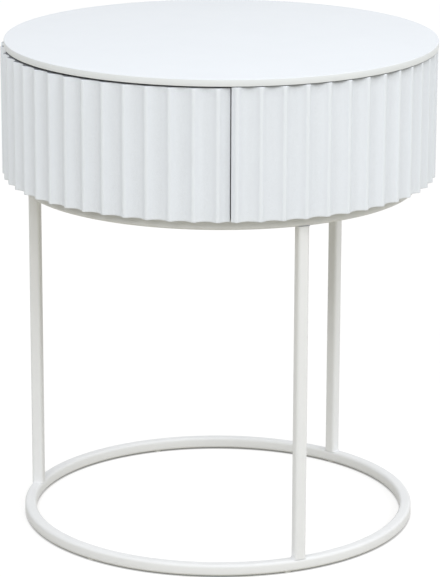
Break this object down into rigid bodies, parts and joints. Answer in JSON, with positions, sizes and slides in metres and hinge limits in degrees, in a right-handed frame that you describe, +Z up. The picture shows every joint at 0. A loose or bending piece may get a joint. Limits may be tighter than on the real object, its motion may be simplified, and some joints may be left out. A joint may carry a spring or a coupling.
{
  "type": "round side table",
  "caption": "Round side table with a fluted drum, a curved drawer on telescopic slides, a thin round top and a slim square tube frame on a floor ring.",
  "frame": {"origin": "on the floor, on the drum's axis", "axes": "+Z up, the drawer faces -Y and slides out that way, +X to the right of someone facing the drawer"},
  "size_m": [0.4494, 0.4511, 0.5135],
  "materials": {
    "white_powder_coat": "satin powder coat",
    "white_lacquer": "satin white lacquer on fibreboard",
    "white_board": "white faced board",
    "white_panel": "thin white faced panel",
    "raw_wood": "bare beech",
    "zinc_screw": "zinc plated",
    "zinc_rail": "zinc plated strip",
    "ball_steel": "bright steel",
    "glide_plastic": "soft white plastic"
  },
  "bodies": {
    "table": {"lower_ring": "white_powder_coat", "upper_ring": "white_powder_coat", "front_left_leg": "white_powder_coat", "front_right_leg": "white_powder_coat", "rear_leg": "white_powder_coat", "mounting_lugs": "white_powder_coat", "base_panel": "white_board", "carcass_top": "white_board", "left_partition": "white_board", "right_partition": "white_board", "fixed_shell": "white_lacquer", "top_panel": "white_lacquer", "frame_screws": "zinc_screw", "floor_glides": "glide_plastic", "partition_dowels": "raw_wood", "glue_blocks": "raw_wood", "top_screws": "zinc_screw", "outer_rail_screws": "zinc_screw", "left_outer_rail": "zinc_rail", "right_outer_rail": "zinc_rail"},
    "drawer": {"drawer_front": "white_lacquer", "drawer_left_side": "white_board", "drawer_right_side": "white_board", "drawer_back": "white_board", "drawer_bottom": "white_panel", "front_dowels": "raw_wood", "back_screws": "zinc_screw", "bottom_screws": "zinc_screw", "left_inner_rail": "zinc_rail", "right_inner_rail": "zinc_rail", "inner_rail_screws": "zinc_screw"},
    "left_middle_rail_body": {"left_middle_rail": "zinc_rail"},
    "right_middle_rail_body": {"right_middle_rail": "zinc_rail"},
    "left_outer_cages_body": {"left_outer_cages": "ball_steel"},
    "right_outer_cages_body": {"right_outer_cages": "ball_steel"},
    "left_inner_cages_body": {"left_inner_cages": "ball_steel"},
    "right_inner_cages_body": {"right_inner_cages": "ball_steel"}
  },
  "joints": [
    {"name": "drawer_slide", "type": "slide", "parent": "table", "child": "drawer", "axis": [0, -1, 0], "range_m": [0, 0.28]},
    {"name": "left_middle_rail_slide", "type": "slide", "parent": "table", "child": "left_middle_rail_body", "axis": [0, -1, 0], "range_m": [0, 0.14]},
    {"name": "right_middle_rail_slide", "type": "slide", "parent": "table", "child": "right_middle_rail_body", "axis": [0, -1, 0], "range_m": [0, 0.14]},
    {"name": "left_outer_cages_slide", "type": "slide", "parent": "table", "child": "left_outer_cages_body", "axis": [0, -1, 0], "range_m": [0, 0.07]},
    {"name": "right_outer_cages_slide", "type": "slide", "parent": "table", "child": "right_outer_cages_body", "axis": [0, -1, 0], "range_m": [0, 0.07]},
    {"name": "left_inner_cages_slide", "type": "slide", "parent": "table", "child": "left_inner_cages_body", "axis": [0, -1, 0], "range_m": [0, 0.21]},
    {"name": "right_inner_cages_slide", "type": "slide", "parent": "table", "child": "right_inner_cages_body", "axis": [0, -1, 0], "range_m": [0, 0.21]}
  ],
  "couplings": [
    {"joint": "left_middle_rail_slide", "follows": "drawer_slide", "ratio": 0.5},
    {"joint": "right_middle_rail_slide", "follows": "drawer_slide", "ratio": 0.5},
    {"joint": "left_outer_cages_slide", "follows": "drawer_slide", "ratio": 0.25},
    {"joint": "right_outer_cages_slide", "follows": "drawer_slide", "ratio": 0.25},
    {"joint": "left_inner_cages_slide", "follows": "drawer_slide", "ratio": 0.75},
    {"joint": "right_inner_cages_slide", "follows": "drawer_slide", "ratio": 0.75}
  ]
}
